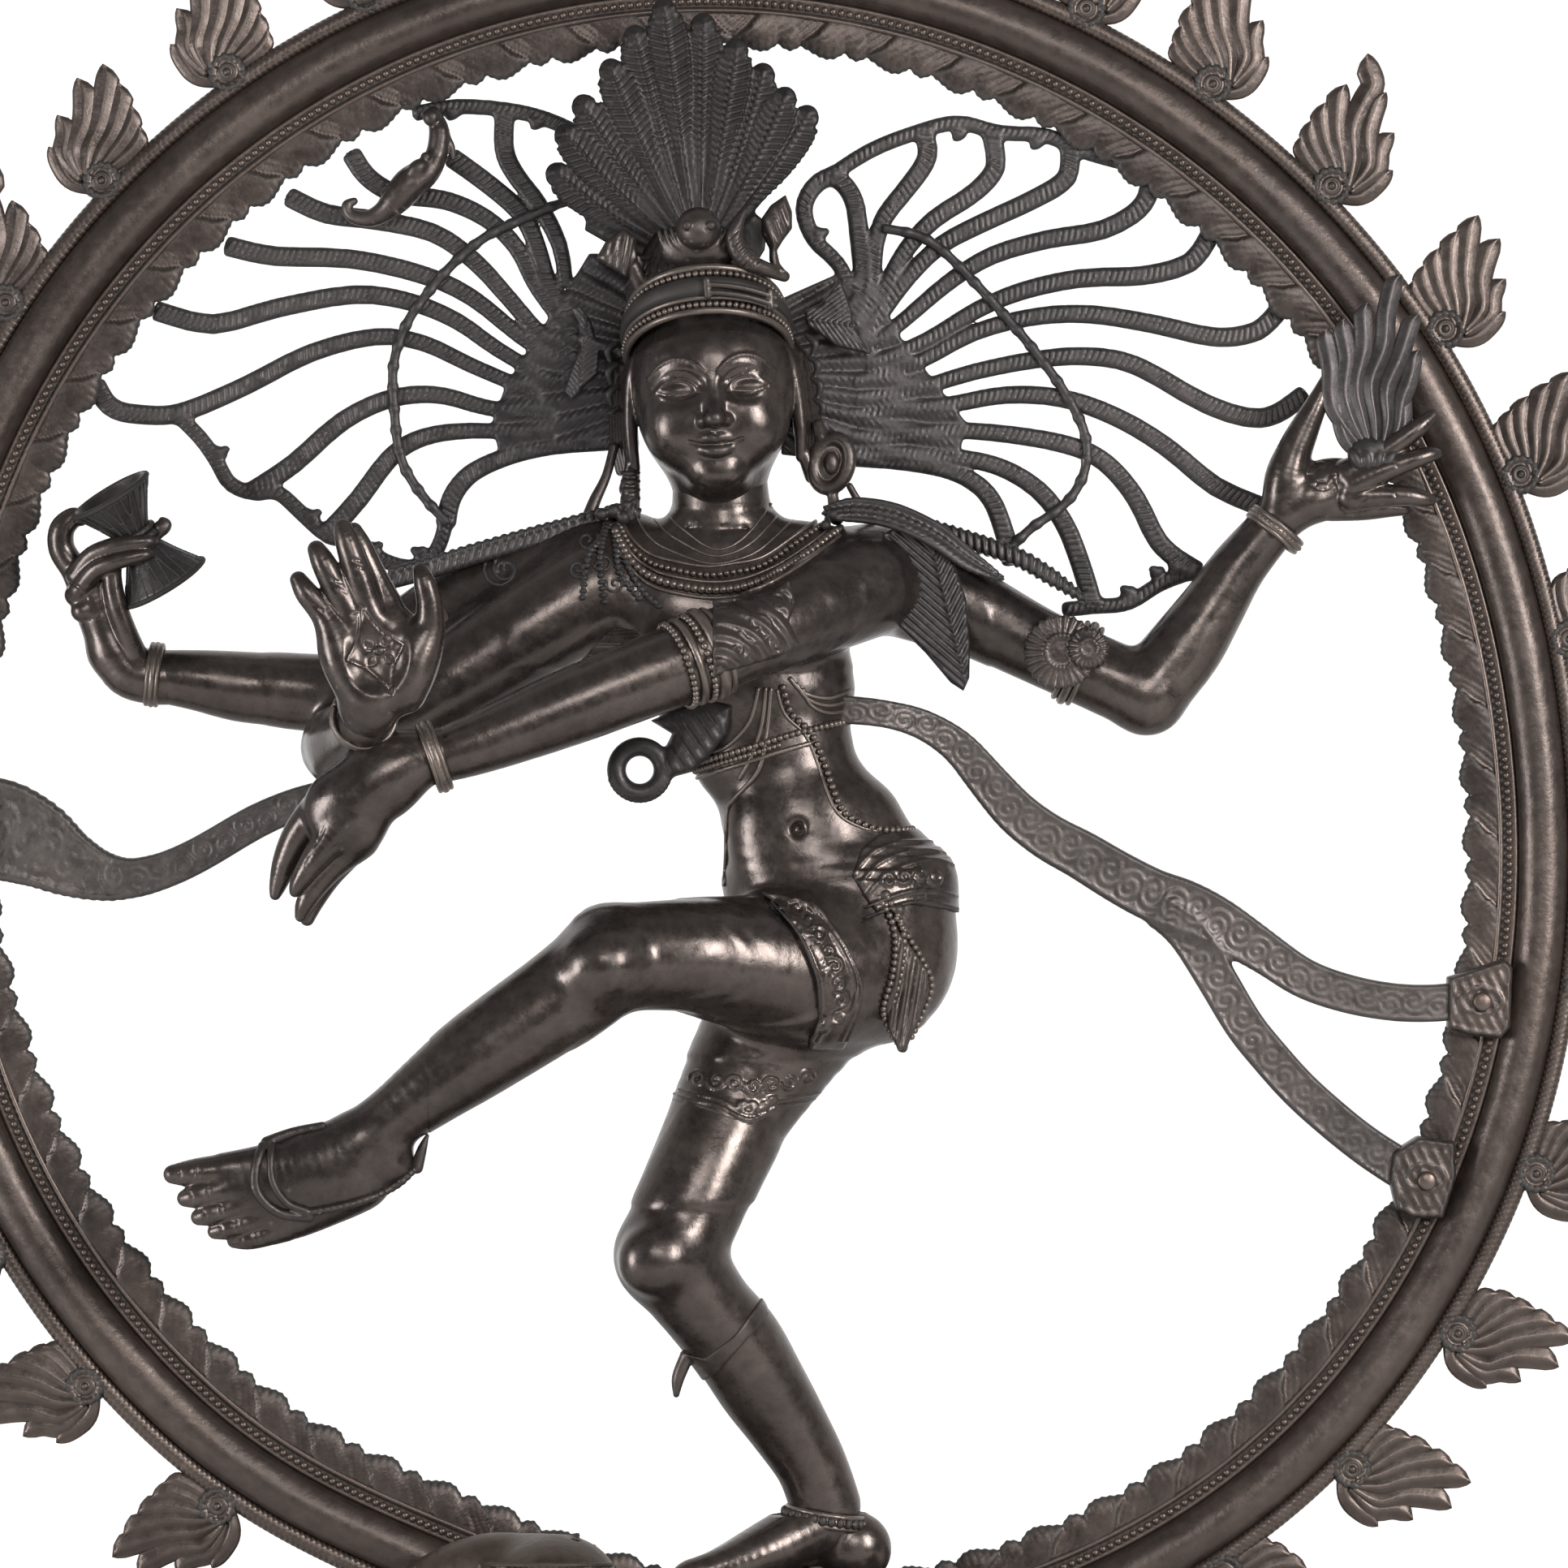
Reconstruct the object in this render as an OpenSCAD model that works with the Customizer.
// Dancing figure in a ring of flames, cast brass with a dark patina.
// Frame: millimetres, +Z up, the figure faces -Y, origin at the middle of the resting face.

/* [Ring of flames] */
// Mean radius of the leaf edge that borders the opening
ring_r = 232.25; // [225:0.25:240]
// How far the hand-made ring is out of round
ring_oval = 5.75; // [0:0.25:8]
// Lean of the ring's long axis from vertical
ring_lean = 22; // [0:1:30]
// How far the ring is flattened low on the viewer's left
ring_flat = 9; // [0:0.5:10]
// Height of the ring's centre
ring_z = 355; // [350:1:360]
// Depth position of the ring's middle plane
ring_y = 14; // [12:0.5:16]
// Width of the half-round tube
tube_w = 16; // [14:0.5:18]
// Width of the leaf fringe
fringe_w = 10; // [9:0.5:11]
// Number of leaves round the fringe
leaf_count = 72; // [60:2:84]
// Number of flames
flame_count = 27; // [21:2:27]
// Height of a flame from its rosette's centre
flame_h = 40; // [36:1:42]

/* [Pedestal] */
// Width of the plinth
plinth_w = 260; // [240:1:280]
// Depth of the plinth
plinth_d = 190; // [180:1:200]
// Height of the plinth
plinth_h = 32; // [28:1:36]
// Width of the lotus
lotus_w = 226; // [216:1:236]
// Depth of the lotus
lotus_d = 150; // [140:1:156]
// Height of the lotus
lotus_h = 52; // [50:1:54]
// Petals in each row of the lotus
petal_count = 24; // [16:2:28]

/* [Figure] */
// Facets round a limb
limb_fn = 12; // [10:1:14]
// Facets round a small trim cord
trim_fn = 6; // [6:1:8]

/* [Hidden] */

// Offsets outward from the leaf edge, across the ring's mouldings
bead_in = fringe_w + 1.5;
bead_w = 4;
tube_in = bead_in + bead_w + 1;
tube_mid = tube_in + tube_w / 2;
rim_w = 5;
rim_in = tube_in + tube_w;
rosette_off = rim_in + rim_w + 1.5;
rosette_r = 5.5;
flame_step = 11.25;
lotus_top = plinth_h + lotus_h;
deck_t = 8;
wall_t = 6;
stud_r = 3;
stud_x = 84;
stud_y = 44;
tenon_w = 24;
tenon_t = 10;
tenon_depth = 22;
fit_gap = 0.2;
flat_at = 250;
flat_spread = 16;

// ---- shared shapes ----

// Radius of the leaf edge at an angle measured from +X
function edge_r(a) = ring_r + ring_oval * cos(2 * (a - 90 - ring_lean))
    - ring_flat * exp(-pow((wrap(a) - flat_at) / flat_spread, 2));
function wrap(a) = a - 360 * floor(a / 360);

// Point of the ring's plane, [x, z], off millimetres outside the leaf edge
function ring_xz(a, off) = let (r = edge_r(a) + off) [r * cos(a), ring_z + r * sin(a)];

// Direction in which the flame at an angle points: the flames lean upward
function flame_dir(a) =
    let (low = a > 90 ? a - 90 : 90 - a, lift = 55 * (1 - exp(-low / 50)))
    a > 90 ? a - lift : a + lift;

function lerp(a, b, t) = a + (b - a) * t;

// Catmull-Rom curve through a list of points, n steps to each span
function curve(p, n) = [
    for (i = [0 : len(p) - 2], k = [0 : n - 1])
        let (
            t = k / n,
            a = p[max(i - 1, 0)],
            b = p[i],
            c = p[i + 1],
            d = p[min(i + 2, len(p) - 1)]
        )
        0.5 * (2 * b + t * (c - a) + t * t * (2 * a - 5 * b + 4 * c - d)
            + t * t * t * (3 * b - a - 3 * c + d)),
    p[len(p) - 1]
];

function unit(v) = v / max(norm(v), 0.001);

// Oval tube swept along a list of points; w is its width in the XZ plane and t its depth in Y
module sweep(route, w, t, sides = 8) {
    n = len(route);
    wide = is_list(w) ? w : [for (i = [0 : n - 1]) w];
    rings = [
        for (i = [0 : n - 1])
            let (
                along = unit(route[min(i + 1, n - 1)] - route[max(i - 1, 0)]),
                across = unit(cross(along, abs(along[1]) > 0.9 ? [1, 0, 0] : [0, 1, 0])),
                up = cross(across, along)
            )
            for (k = [0 : sides - 1])
                let (a = 360 * (k + 0.5) / sides)
                route[i] + across * (wide[i] / 2 * cos(a)) + up * (t / 2 * sin(a))
    ];
    faces = [
        [for (k = [sides - 1 : -1 : 0]) k],
        [for (k = [0 : sides - 1]) (n - 1) * sides + k],
        for (i = [0 : n - 2], k = [0 : sides - 1])
            let (a = i * sides + k, b = i * sides + (k + 1) % sides)
            [a, b, b + sides, a + sides]
    ];
    polyhedron(rings, faces, convexity = 8);
}

// Closed moulding round the ring: off is its middle, w its width and t its depth
module ring_moulding(off, w, t, steps = 96, sides = 10) {
    points = [
        for (i = [0 : steps - 1])
            let (a = 360 * i / steps)
            for (k = [0 : sides - 1])
                let (
                    b = 360 * (k + 0.5) / sides,
                    q = ring_xz(a, off + w / 2 * cos(b))
                )
                [q[0], ring_y + t / 2 * sin(b), q[1]]
    ];
    faces = [
        for (i = [0 : steps - 1], k = [0 : sides - 1])
            let (
                j = (i + 1) % steps,
                m = (k + 1) % sides
            )
            [i * sides + k, i * sides + m, j * sides + m, j * sides + k]
    ];
    polyhedron(points, faces, convexity = 8);
}

// Limb: rounded segments through points [x, y, z, radius]
module limb(path, fn = limb_fn) {
    for (i = [0 : len(path) - 2])
        hull() {
            ball(path[i], fn);
            ball(path[i + 1], fn);
        }
}

module ball(p, fn) {
    translate([p[0], p[1], p[2]])
        sphere(r = p[3], $fn = fn);
}

// Flat plate standing in the XZ plane with its middle at depth y
module plate(outline, y, t) {
    translate([0, y + t / 2, 0])
        rotate([90, 0, 0])
            linear_extrude(t)
                polygon(outline);
}

// Rounded plug along Y from the front face at y
module stud_y_axis(x, z, y, r, t) {
    translate([x, y, z])
        rotate([-90, 0, 0])
            cylinder(h = t, r = r, $fn = 32);
}

module oval(w, d, h) {
    n = 64;
    linear_extrude(h)
        polygon([for (i = [0 : n - 1]) [w / 2 * cos(360 * i / n), d / 2 * sin(360 * i / n)]]);
}

// ---- pedestal ----

module plinth() {
    steps = [[0, 0, 8], [4, 6, 4], [8, 10, 8], [4, 18, 5], [1, 23, plinth_h - 23]];
    color("#3a2f2a") difference() {
        for (s = steps)
            translate([-plinth_w / 2 + s[0], -plinth_d / 2 + s[0], s[1]])
                cube([plinth_w - 2 * s[0], plinth_d - 2 * s[0], s[2]]);
        translate([-plinth_w / 2 + 14, -plinth_d / 2 + 14, -1])
            cube([plinth_w - 28, plinth_d - 28, plinth_h - deck_t + 1]);
        for (x = [-stud_x, stud_x], y = [-stud_y, stud_y])
            translate([x, y, plinth_h - deck_t - 1])
                cylinder(h = deck_t + 2, r = stud_r + fit_gap, $fn = 48);
    }
}

module lotus_pedestal() {
    waist = 0.84;
    bands = [
        [1.0, 0, 8], [0.97, 8, 7], [0.92, 15, 6], [waist, 21, 8],
        [0.92, 29, 6], [0.97, 35, 8], [1.0, 43, lotus_h - 43]
    ];
    color("#40352d") difference() {
        for (b = bands)
            translate([0, 0, plinth_h + b[1]])
                oval(lotus_w * b[0], lotus_d * b[0], b[2]);
        translate([-tenon_w / 2, ring_y - tenon_t / 2, lotus_top - tenon_depth])
            cube([tenon_w, tenon_t, tenon_depth + 1]);
        for (x = [-stud_x, stud_x], y = [-stud_y, stud_y])
            translate([x, y, plinth_h - 1])
                cylinder(h = 13, r = stud_r, $fn = 48);
        pin_bore();
    }
}

module pin_bore() {
    translate([0, -lotus_d / 2, lotus_top - 12])
        rotate([-90, 0, 0])
            cylinder(h = lotus_d, r = 2, $fn = 32);
}

// One petal's outline for a row pitch p along the oval
function petal_outline(p) = let (h = p * 0.44) [
    [-h * 0.85, 0], [-h, 8], [-h * 0.65, 15], [0, 19], [h * 0.65, 15], [h, 8], [h * 0.85, 0]
];

// Petals are leaf-shaped plates leaning out round the oval, one row up and one row down
module lotus_petals() {
    step = 360 / petal_count;
    inset = 0.9;
    color("#4b3c31")
        for (row = [0, 1], i = [0 : petal_count - 1]) {
            a = step * (i + row / 2);
            pitch = norm([lotus_w * sin(a), lotus_d * cos(a)]) * inset * sin(step / 2);
            facing = atan2(lotus_w * sin(a), lotus_d * cos(a));
            translate([
                lotus_w / 2 * inset * cos(a), lotus_d / 2 * inset * sin(a),
                plinth_h + (row == 0 ? 22 : 31)
            ])
                rotate([0, 0, facing + 90])
                    rotate([row == 0 ? -120 : 120, 0, 0])
                        translate([0, 0, -2])
                            linear_extrude(4)
                                polygon(petal_outline(pitch));
        }
}

module base_studs() {
    color("#6a5a45")
        for (x = [-stud_x, stud_x], y = [-stud_y, stud_y])
            translate([x, y, plinth_h - deck_t - 9])
                cylinder(h = deck_t + 9 + 12, r = stud_r, $fn = 48);
}

module base_washers() {
    color("#8a7a5c")
        for (x = [-stud_x, stud_x], y = [-stud_y, stud_y])
            translate([x, y, plinth_h - deck_t - 1.2]) difference() {
                cylinder(h = 1.2, r = 7, $fn = 48);
                translate([0, 0, -1])
                    cylinder(h = 4, r = stud_r + fit_gap, $fn = 48);
            }
}

module base_nuts() {
    color("#7b6a4c")
        for (x = [-stud_x, stud_x], y = [-stud_y, stud_y])
            translate([x, y, plinth_h - deck_t - 6.2]) difference() {
                cylinder(h = 5, r = 5.8, $fn = 6);
                translate([0, 0, -1])
                    cylinder(h = 8, r = stud_r, $fn = 48);
            }
}

// ---- ring of flames ----

module prabha_tube() {
    color("#4a3a31")
        ring_moulding(tube_mid, tube_w, 15, 96, 10);
}

module prabha_rope_rim() {
    color("#43362e")
        ring_moulding(rim_in + rim_w / 2 - 0.5, rim_w + 1, 9, 96, 6);
}

module prabha_bead_row() {
    color("#54463a")
        ring_moulding(bead_in + bead_w / 2, bead_w + 2.5, 7, 96, 6);
}

// Scalloped leaf edge: each leaf has a large lobe and a small tooth
function leaf_edge(t) = t < 0.7 ? -2.2 * sin(180 * t / 0.7) : -1.1 * sin(180 * (t - 0.7) / 0.3);

module prabha_leaf_fringe() {
    steps = 5;
    n = leaf_count * steps;
    inner = [
        for (i = [0 : n - 1])
            ring_xz(360 * i / n, 2.2 + leaf_edge((i % steps) / steps))
    ];
    outer = [for (i = [0 : 143]) ring_xz(360 * i / 144, fringe_w + 2.5)];
    color("#493c33")
        translate([0, ring_y + 1.8, 0])
            rotate([90, 0, 0])
                linear_extrude(3.6)
                    difference() {
                        polygon(outer);
                        polygon(inner);
                    }
}

function flame_outline(h) = [
    [-5, 0], [-10, 4], [-14, 9], [-11, 12], [-13.5, 17], [-9.5, 20], [-11, 25], [-6.5, 27],
    [-7, 32], [-2.5, 33], [1, h], [3, 34], [6, 30], [10, 29], [8.5, 24], [12, 21], [11, 16],
    [14.5, 11], [11, 5], [5, 0]
];

module at_flames(off, y) {
    half = floor(flame_count / 2);
    for (k = [-half : half]) {
        a = 90 + flame_step * k;
        p = ring_xz(a, off);
        translate([p[0], y, p[1]])
            rotate([0, 90 - flame_dir(a), 0])
                children();
    }
}

module prabha_flames() {
    color("#45382f")
        at_flames(rosette_off, ring_y + 3)
            rotate([90, 0, 0])
                linear_extrude(6)
                    polygon(flame_outline(flame_h));
}

module prabha_rosettes() {
    color("#57483b")
        at_flames(rosette_off, ring_y - 5.5) {
            rotate([-90, 0, 0])
                cylinder(h = 9, r = rosette_r, $fn = 32);
            sphere(r = 2.6, $fn = 24);
        }
}

module prabha_tenon() {
    foot = ring_z - edge_r(-90) - rim_in - rim_w;
    color("#4a3a31") difference() {
        translate([-tenon_w / 2 + fit_gap, ring_y - tenon_t / 2 + fit_gap, lotus_top - tenon_depth])
            cube([tenon_w - 2 * fit_gap, tenon_t - 2 * fit_gap, foot - lotus_top + tenon_depth + 12]);
        pin_bore();
    }
}

module prabha_pin() {
    color("#8a7a5c")
        translate([0, -lotus_d / 2 + 8, lotus_top - 12])
            rotate([-90, 0, 0])
                cylinder(h = lotus_d - 16, r = 2 - fit_gap / 2, $fn = 32);
}

// Where the sashes are riveted to the ring: [x, z]
lug_points = [[230, 298], [213, 243], [-234, 349]];
lug_size = [[17, 26], [18, 26], [18, 34]];

module sash_lugs() {
    color("#50412f")
        for (i = [0 : 2])
            translate([lug_points[i][0] - lug_size[i][0] / 2, ring_y - 10, lug_points[i][1] - lug_size[i][1] / 2])
                cube([lug_size[i][0], 12, lug_size[i][1]]);
}

module lug_rivets() {
    color("#6b5a42")
        for (p = lug_points) {
            stud_y_axis(p[0], p[1], ring_y - 12.5, 3, 24);
            stud_y_axis(p[0], p[1], ring_y - 12.5, 4.5, 2);
        }
}

// ---- dwarf under the foot ----

module dwarf_body() {
    color("#3f342d")
        difference() {
            limb([[-40, -18, 104, 15], [-8, -18, 103, 19], [30, -16, 103, 19], [52, -12, 102, 14]]);
            translate([23.5, -3.5, 110])
                cube([7, 7, 20]);
        }
}

module dwarf_head() {
    color("#43372f") {
        limb([[-52, -24, 118, 19], [-58, -30, 112, 16]]);
        limb([[-62, -14, 122, 14], [-94, -10, 118, 12], [-104, -8, 106, 10]]);
    }
}

module dwarf_limbs() {
    color("#3d322b") {
        limb([[-34, -26, 104, 10], [-30, -46, 96, 8], [-52, -52, 94, 7]]);
        limb([[50, -16, 102, 13], [74, -28, 112, 11], [88, -16, 96, 9], [96, -34, 90, 6]]);
        limb([[46, 0, 100, 12], [72, 8, 108, 11], [86, 4, 94, 9], [98, -6, 90, 6]]);
    }
}

module foot_tenon() {
    color("#6a5a45")
        translate([23.7, -3.3, 110])
            cube([6.6, 6.6, 18]);
}

// ---- body ----

module torso() {
    color("#4a3a31") {
        hull() {
            ball([-30, -2, 420, 19], 14);
            ball([32, -2, 424, 20], 14);
            ball([0, -4, 406, 26], 14);
        }
        limb([[-2, -4, 404, 26], [10, -3, 384, 24], [13, -2, 368, 22], [22, -2, 348, 24], [34, -3, 322, 30]], 14);
        limb([[-3, 0, 436, 15], [-3, 0, 458, 14]], 14);
        limb([[40, -2, 316, 28], [24, -2, 300, 24]], 14);
    }
}

module head() {
    color("#4c3c32") {
        hull() {
            ball([-4, -4, 490, 25], 14);
            ball([-4, 4, 500, 26], 14);
            ball([-4, -8, 470, 15], 14);
        }
        limb([[-4, 0, 510, 22], [-6, 2, 526, 17]], 14);
    }
}

module diadem() {
    color("#57472f")
        translate([-5, -2, 504])
            rotate([-6, 0, 0]) difference() {
                cylinder(h = 13, r1 = 29, r2 = 27, $fn = 64);
                translate([0, 0, -1])
                    cylinder(h = 15, r1 = 26, r2 = 24, $fn = 64);
            }
}

module skull_ornament() {
    color("#5a4837") {
        ball([-10, -22, 533, 7], 32);
        translate([-10, -19, 528])
            rotate([90, 0, 0])
                cylinder(h = 4, r = 11, $fn = 40);
    }
}

module crown_serpent() {
    color("#4a3c32")
        limb([[2, -20, 531, 3], [8, -22, 526, 3.5], [14, -20, 530, 4], [14, -19, 540, 3]], 8);
}

crest_foot = [-10, 525];
crest_tips = [
    [149, 52], [137, 57], [127, 60], [115, 65], [106, 72], [98, 78], [89, 73], [80, 66],
    [71, 61], [62, 57], [53, 56]
];

function feather_outline(len, w = 7.5) = [
    [-w * 0.4, 6], [-w * 0.95, len - 16], [-w, len - 7], [-w * 0.6, len - 2], [0, len],
    [w * 0.6, len - 2], [w, len - 7], [w * 0.95, len - 16], [w * 0.4, 6]
];

module feather_crest() {
    color("#4d3f35")
        translate([crest_foot[0], -3, crest_foot[1]])
            rotate([90, 0, 0])
                linear_extrude(5)
                    for (tip = crest_tips)
                        rotate(tip[0] - 90)
                            polygon(feather_outline(tip[1]));
}

// ---- hair ----

// Strands lie in plates behind the leaf fringe and come forward to the head: [x, z]
hair_left = [
    [[-71, 571], [-71, 560], [-67, 552], [-60, 543], [-54, 531], [-52, 519]],
    [[-87, 558], [-76, 550], [-66, 541], [-61, 531], [-57, 519], [-50, 508]],
    [[-118, 559], [-113, 552], [-104, 547], [-89, 545], [-76, 539], [-67, 530], [-61, 518], [-50, 503]],
    [[-137, 546], [-126, 541], [-111, 539], [-93, 535], [-80, 526], [-69, 514], [-59, 503], [-46, 494]],
    [[-156, 531], [-142, 528], [-118, 527], [-96, 522], [-81, 515], [-66, 503], [-50, 492]],
    [[-178, 511], [-161, 507], [-141, 512], [-118, 516], [-101, 514], [-86, 508], [-73, 499], [-56, 489]],
    [[-197, 488], [-192, 481], [-181, 479], [-170, 480], [-151, 488], [-131, 498], [-111, 503], [-96, 501],
        [-81, 494], [-60, 485]],
    [[-148, 456], [-136, 464], [-121, 477], [-106, 484], [-91, 485], [-76, 481], [-56, 479]],
    [[-126, 442], [-116, 453], [-106, 466], [-96, 472], [-81, 474], [-56, 473]],
    [[-89, 446], [-87, 454], [-81, 461], [-70, 466], [-56, 469], [-38, 470]]
];
hair_rim_left_top = [[-98, 572], [-86, 574], [-71, 573], [-58, 570], [-45, 564]];
hair_rim_left_low = [
    [-172, 479], [-165, 472], [-160, 465], [-156, 458], [-149, 455], [-141, 455], [-134, 449],
    [-126, 442], [-116, 439], [-108, 434], [-99, 432], [-92, 437], [-89, 446]
];
hair_right = [
    [[36, 506], [40, 519], [39, 534], [37, 546], [31, 552], [25, 549], [22, 542], [25, 533], [32, 526], [36, 519]],
    [[59, 566], [60, 558], [54, 549], [47, 540], [44, 531], [43, 519], [38, 506]],
    [[80, 565], [81, 555], [74, 547], [62, 539], [53, 529], [46, 516], [40, 503]],
    [[104, 562], [103, 552], [92, 545], [77, 538], [64, 531], [54, 521], [46, 510], [39, 500]],
    [[129, 551], [126, 543], [114, 536], [97, 533], [80, 528], [67, 520], [54, 509], [41, 498]],
    [[147, 534], [141, 526], [127, 522], [107, 521], [89, 517], [75, 511], [60, 502], [42, 494]],
    [[169, 512], [162, 505], [149, 503], [130, 507], [110, 510], [92, 509], [74, 504], [57, 495], [38, 489]],
    [[176, 485], [164, 478], [147, 482], [125, 494], [110, 497], [94, 496], [74, 492], [54, 486], [38, 484]],
    [[165, 450], [149, 457], [134, 469], [119, 478], [102, 484], [84, 485], [67, 482], [49, 480], [37, 479]],
    [[143, 431], [132, 439], [124, 454], [114, 465], [102, 470], [84, 473], [67, 474], [49, 472], [37, 472]],
    [[111, 421], [107, 434], [102, 446], [94, 456], [82, 463], [67, 466], [49, 467], [37, 467]],
    [[86, 434], [84, 442], [79, 454], [69, 461], [54, 464], [38, 465]]
];
hair_rim_right_top = [[31, 553], [42, 560], [54, 565], [69, 569], [82, 566], [97, 565], [109, 560], [124, 556]];
hair_rim_right_low = [[103, 419], [112, 420], [122, 421], [132, 427], [143, 431]];
band_left = [
    [-44, 546], [-53, 544], [-63, 540], [-76, 534], [-86, 526], [-94, 517], [-101, 507], [-105, 495],
    [-105, 483], [-103, 466], [-97, 455], [-89, 446]
];
band_right = [
    [47, 536], [57, 534], [65, 529], [75, 519], [85, 508], [95, 496], [104, 483], [109, 471],
    [108, 460], [102, 451], [92, 444], [84, 436]
];
strand_w = 5;
strand_t = 3.2;

// Depth of the hair: forward at the head, behind the fringe at the ring
function hair_y(x, z) = lerp(9, ring_y + 3.2, min(norm([x + 4, z - 490]) / 150, 1));
function hair_route(p, n) = [for (q = curve(p, n)) [q[0], hair_y(q[0], q[1]), q[1]]];

module strands(list) {
    for (s = list)
        sweep(hair_route(s, 2), strand_w, strand_t, 6);
}

// Small curled bud on a hair rim
module bud(x, z) {
    hull() {
        ball([x, hair_y(x, z), z, 2.8], 6);
        ball([x, hair_y(x, z) + 1, z + 2, 2], 6);
    }
}

module hair_fan_left() {
    color("#41352d") {
        strands(hair_left);
        sweep(hair_route(hair_rim_left_top, 2), strand_w, strand_t, 6);
        sweep(hair_route(hair_rim_left_low, 2), strand_w, strand_t, 6);
        plate([[-74, 492], [-52, 520], [-30, 530], [-28, 466], [-68, 466]], 9, 3);
        for (p = [[-58, 571], [-86, 574], [-138, 456], [-107, 436], [-152, 456], [-160, 468], [-120, 441], [-96, 433]])
            bud(p[0], p[1]);
    }
}

module hair_fan_right() {
    color("#41352d") {
        strands(hair_right);
        sweep(hair_route(hair_rim_right_top, 2), strand_w, strand_t, 6);
        sweep(hair_route(hair_rim_right_low, 2), strand_w, strand_t, 6);
        plate([[22, 462], [22, 520], [40, 522], [54, 500], [62, 482], [62, 463]], 9, 3);
        for (p = [[70, 566], [92, 563], [124, 422], [132, 428], [60, 566], [108, 561], [44, 560], [114, 421]])
            bud(p[0], p[1]);
    }
}

module hair_band_left() {
    color("#463a31")
        translate([0, -2.2, 0])
            sweep(hair_route(band_left, 2), 3, 2.6, trim_fn);
}

module hair_band_right() {
    color("#463a31")
        translate([0, -2.2, 0])
            sweep(hair_route(band_right, 2), 3, 2.6, trim_fn);
}

module hair_figurine() {
    color("#4d4036")
        translate([0, 8, 0])
            limb([[-88, 0, 566, 4], [-92, -1, 554, 6], [-101, -2, 546, 6], [-108, -1, 538, 4], [-119, 0, 541, 3]], 8);
}

// ---- ears ----

module ear_ornament_long() {
    color("#4f4035")
        limb([[-33, 2, 486, 3.5], [-32, 1, 466, 3.5], [-30, 0, 450, 4]], 8);
}

module ear_ornament_round() {
    color("#4f4035") {
        limb([[21, 2, 486, 3.5], [25, 0, 474, 3]], 8);
        translate([29, 0, 465])
            rotate([0, 8, 0])
                rotate([90, 0, 12])
                    cylinder(h = 5, r = 7, center = true, $fn = 40);
        limb([[30, 0, 458, 2.4], [32, 0, 450, 2.4]], 8);
    }
}

module ear_leaves() {
    color("#4a3d33") {
        plate([[24, 514], [36, 520], [44, 504], [42, 496], [24, 504]], 2, 3);
        plate([[-34, 520], [-49, 510], [-52, 484], [-36, 498]], 3, 3);
    }
}

// ---- arms ----

module front_right_arm() {
    color("#4e3e34") {
        limb([[-46, -6, 424, 16], [-84, -10, 402, 15.5], [-118, -12, 376, 12], [-109, -62, 379, 8.5]]);
        limb([[-109, -66, 382, 8.5], [-108, -72, 400, 11], [-109, -74, 412, 12]]);
        limb([[-118, -76, 412, 4.5], [-128, -76, 424, 3.4]], 8);
        limb([[-114, -76, 416, 5], [-124, -78, 434, 3.4]], 8);
        limb([[-108, -76, 418, 5], [-115, -78, 440, 3.4]], 8);
        limb([[-104, -73, 418, 5], [-112, -70, 443, 3.4]], 8);
        limb([[-98, -74, 404, 5], [-92, -76, 416, 4], [-92, -78, 426, 3]], 8);
    }
}

module front_left_arm() {
    color("#4e3e34") {
        limb([[46, -14, 430, 14], [-14, -50, 401, 12.5], [-88, -58, 373, 8]]);
        limb([[-90, -58, 374, 8.5], [-112, -60, 362, 10], [-122, -60, 348, 9]]);
        limb([[-124, -58, 352, 6], [-135, -54, 338, 4.5], [-139, -52, 326, 2.5]], 8);
        limb([[-118, -60, 344, 5.5], [-130, -60, 332, 3.4]], 8);
        limb([[-116, -57, 344, 5], [-130, -56, 324, 3]], 8);
    }
}

module back_right_arm() {
    color("#4e3e34") {
        limb([[-44, 6, 424, 17], [-84, 6, 408, 16], [-121, 4, 392, 12], [-176, 0, 398, 8]]);
        limb([[-180, 0, 397, 9], [-191, -2, 408, 8.5], [-197, -2, 424, 7.5]]);
        limb([[-198, -2, 428, 5], [-206, -2, 438, 4.5], [-203, -4, 446, 3.2]], 8);
        limb([[-196, -6, 430, 4.5], [-184, -12, 436, 4], [-176, -10, 438, 3]], 8);
        limb([[-190, -8, 424, 4.5], [-188, -14, 414, 4]], 8);
    }
}

module back_left_arm() {
    color("#4e3e34") {
        limb([[50, 0, 430, 15], [96, 2, 410, 13.5], [131, 2, 391, 12.5], [166, 0, 440, 8.5]]);
        limb([[168, 0, 444, 8], [184, -2, 455, 8], [198, -4, 459, 6]]);
        limb([[172, 0, 452, 7], [176, 0, 466, 5], [183, 0, 482, 3]], 8);
        limb([[196, -4, 456, 5], [214, -8, 454, 3]], 8);
        limb([[196, -4, 460, 5], [212, -8, 464, 3]], 8);
    }
}

module armlets() {
    color("#5a4a38") {
        sweep([for (a = [0 : 30 : 360]) [-4 - 2 * cos(a), -47 + 14 * sin(a), 404.5 + 14 * cos(a)]], 5, 5, 6);
        limb([[0, -62, 410, 6], [8, -60, 416, 5], [14, -56, 420, 2.5]], 8);
        stud_y_axis(100, 409, -14, 10, 8);
        sweep([for (a = [0 : 30 : 360]) [106 + 3 * cos(a), 2 + 14 * sin(a), 404 + 14 * cos(a)]], 4, 4, 6);
    }
}

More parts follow.
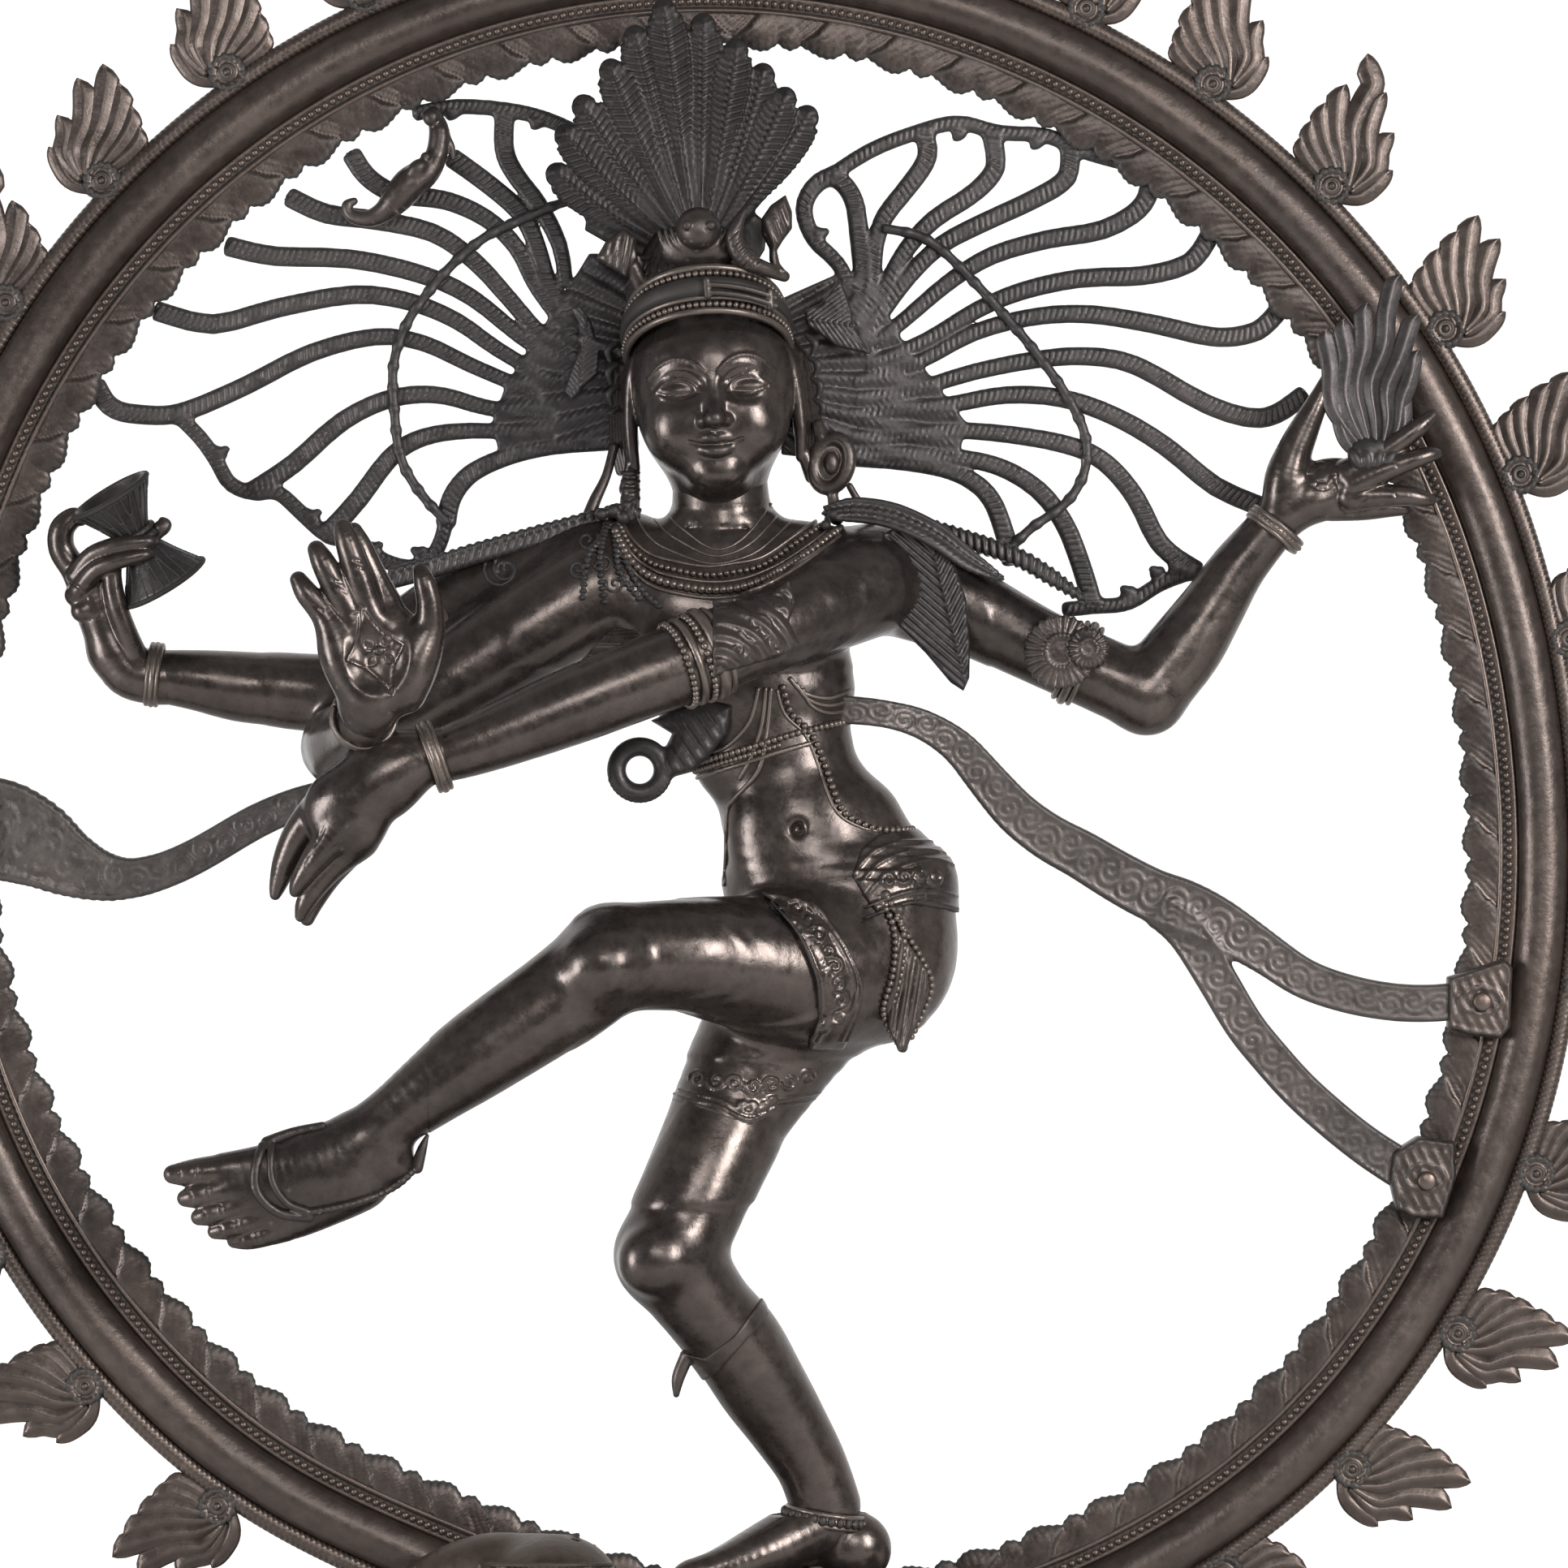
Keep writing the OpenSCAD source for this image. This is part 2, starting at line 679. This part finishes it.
module bangles() {
    rings = [
        [[-109, -60, 379], [82, 6, 0], 8.5], [[-86, -58, 374], [0, 72, 0], 8.5],
        [[-173, 0, 398], [0, 84, 0], 8.3], [[166, 0, 440], [0, 36, 0], 8.6]
    ];
    color("#5a4a38")
        for (r = rings)
            translate(r[0])
                rotate(r[1])
                    rotate_extrude($fn = 48)
                        translate([r[2], 0])
                            circle(r = 2, $fn = 16);
}

// ---- drum and flame ----

drum_mid = [-181.6, -8, 439.5];
drum_tilt = 149;

module drum() {
    color("#463930")
        translate(drum_mid)
            rotate([0, drum_tilt, 0])
                rotate_extrude($fn = 64)
                    polygon([[0, -16], [12, -16], [13, -14], [4.5, -1], [4.5, 1], [14, 14.5], [13, 16.5], [0, 16.5]]);
}

module drum_band() {
    color("#5a4937")
        translate(drum_mid)
            rotate([0, drum_tilt, 0])
                rotate_extrude($fn = 48)
                    translate([5.4, 0])
                        square([3, 4], center = true);
}

module hand_flame() {
    color("#4b3d32")
        plate([
            [190, 470], [184, 478], [181, 488], [184, 496], [182, 504], [187, 508], [188, 514], [194, 512],
            [200, 519], [203, 511], [208, 508], [206, 500], [210, 494], [206, 486], [207, 477], [200, 470]
        ], -1, 10);
}

// ---- legs ----

module raised_leg() {
    color("#50402f") {
        limb([[42, -10, 308, 24], [10, -36, 312, 20], [-34, -48, 314, 15.5], [-70, -50, 288, 14], [-108, -52, 261, 9.5]]);
        limb([[-100, -51, 256, 8.5], [-112, -54, 258, 10], [-140, -56, 246, 9], [-160, -58, 235, 6.5]]);
        for (i = [0 : 4])
            limb([[-158 + 3 * i, -66 + 4 * i, 236 - 3 * i, 3.6], [-171 + 4.5 * i, -67 + 4 * i, 244 - 5.5 * i, 3]], 8);
    }
}

module standing_leg() {
    color("#4c3d33") {
        limb([[24, -2, 296, 23], [8, -14, 258, 20], [-16, -24, 222, 15.5], [6, -12, 190, 15.5], [22, -4, 160, 12.5],
            [29, 0, 142, 11]]);
        limb([[36, 0, 131, 10.5], [14, -8, 134, 9], [-2, -16, 130, 8]]);
        for (i = [0 : 4])
            limb([[-2 + 2 * i, -10 - 4 * i, 127, 3.6], [-12 + 3 * i, -14 - 5 * i, 126, 3.4]], 8);
    }
}

// ---- ornaments on the body ----

module necklaces() {
    color("#5a4b3c") {
        sweep(curve([[-33, -12, 440], [-26, -20, 431], [-14, -27, 425], [-1, -30, 424], [12, -26, 428], [25, -18, 438]], 2),
            4, 4, trim_fn);
        sweep(curve([[-38, -10, 438], [-30, -20, 424], [-14, -28, 416], [2, -30, 414], [16, -27, 420], [32, -18, 436]], 2),
            3, 3.5, trim_fn);
    }
}

module sacred_thread() {
    color("#54463a")
        sweep(curve([[14, -29, 396], [20, -28, 386], [26, -26, 378], [31, -26, 366], [36, -26, 356], [43, -28, 352],
            [54, -26, 352], [62, -20, 352]], 2), 3, 3, trim_fn);
}

module chest_band() {
    color("#54463a")
        sweep(curve([[-14, -20, 372], [-4, -26, 375], [8, -28, 379], [20, -27, 382], [32, -22, 385], [42, -12, 387]], 2),
            5, 3.5, trim_fn);
}

module waist_loop() {
    color("#4c3e34") {
        translate([-28, -14, 369])
            rotate([90, 0, 0])
                rotate_extrude($fn = 48)
                    translate([7.1, 0])
                        circle(r = 2.9, $fn = 16);
        translate([-20, -14, 370.5])
            rotate([0, 84, 0])
                cylinder(h = 9, r = 2.9, $fn = 24);
    }
}

module shoulder_leaf() {
    color("#51433a")
        plate([[46, 444], [60, 440], [66, 428], [72, 394], [58, 405], [50, 418]], -8, 4);
}

module shoulder_ribbon() {
    color("#4c3e34") {
        sweep(curve([[32, 0, 446], [46, -10, 444], [60, -14, 436], [72, -12, 429], [82, -10, 427]], 2), 6, 3, trim_fn);
        sweep(curve([[-34, 0, 449], [-50, 2, 444], [-74, 2, 438], [-102, -2, 428]], 2), 5, 4, trim_fn);
    }
}

module waist_cloth() {
    color("#53443a") difference() {
        hull() {
            ball([36, -4, 334, 32], 14);
            ball([40, -3, 318, 31], 14);
        }
        translate([0, -50, 260])
            cube([90, 100, 48]);
        translate([-10, -50, 346])
            cube([90, 100, 30]);
    }
}

module thigh_bands() {
    color("#57483b") {
        limb([[28, -20, 310, 23.5], [38, -12, 308, 25]], 14);
        limb([[16, -9, 276, 21.8], [11, -12, 266, 21.2]], 14);
    }
}

module belt_pendant() {
    color("#5a4b3c")
        sweep(curve([[42, -34, 328], [47, -38, 312], [48, -38, 296], [52, -36, 287], [58, -34, 298], [58, -34, 310],
            [50, -36, 322], [44, -34, 328]], 2), 3.4, 4, trim_fn);
}

module anklets() {
    color("#5a4b3c") {
        translate([-137, -56, 248])
            rotate([0, 60, 0])
                rotate_extrude($fn = 40)
                    translate([9.4, 0])
                        circle(r = 1.6, $fn = 14);
        translate([28, 0, 141])
            rotate([0, 12, 0])
                rotate_extrude($fn = 48)
                    translate([11.5, 0])
                        circle(r = 2, $fn = 14);
        translate([2, -14, 198])
            rotate([0, -38, 0])
                rotate_extrude($fn = 48)
                    translate([15.6, 0])
                        circle(r = 1.6, $fn = 14);
    }
}

// ---- sashes ----

module sash_right() {
    color("#4a3d33") {
        sweep(curve([[36, -8, 388], [52, -6, 384], [69, -2, 375], [87, 2, 354], [107, 4, 340], [129, 6, 327],
            [147, 6, 319], [164, 7, 309], [182, 8, 301], [204, 8, 296], [226, 8, 298]], 3), 13, 4, 8);
        sweep(curve([[134, 6, 324], [145, 6, 311], [157, 7, 291], [174, 7, 271], [192, 8, 255], [212, 8, 243]], 3),
            12, 4, 8);
    }
}

module sash_left() {
    route = curve([[-122, 2, 362], [-146, 4, 354], [-163, 6, 344], [-186, 7, 336], [-201, 8, 338], [-214, 8, 345],
        [-230, 8, 350]], 3);
    color("#4a3d33")
        sweep(route, [for (i = [0 : len(route) - 1]) i < 12 ? 11 + i * 0.2 : 13.4 + (i - 12) * 3], 4, 8);
}

plinth();
lotus_pedestal();
lotus_petals();
base_studs();
base_washers();
base_nuts();
prabha_tube();
prabha_rope_rim();
prabha_bead_row();
prabha_leaf_fringe();
prabha_flames();
prabha_rosettes();
prabha_tenon();
prabha_pin();
sash_lugs();
lug_rivets();
dwarf_body();
dwarf_head();
dwarf_limbs();
foot_tenon();
torso();
head();
diadem();
skull_ornament();
crown_serpent();
feather_crest();
hair_fan_left();
hair_fan_right();
hair_band_left();
hair_band_right();
hair_figurine();
ear_ornament_long();
ear_ornament_round();
ear_leaves();
front_right_arm();
front_left_arm();
back_right_arm();
back_left_arm();
drum();
drum_band();
hand_flame();
raised_leg();
standing_leg();
necklaces();
sacred_thread();
chest_band();
waist_loop();
shoulder_leaf();
shoulder_ribbon();
armlets();
bangles();
waist_cloth();
thigh_bands();
belt_pendant();
anklets();
sash_right();
sash_left();
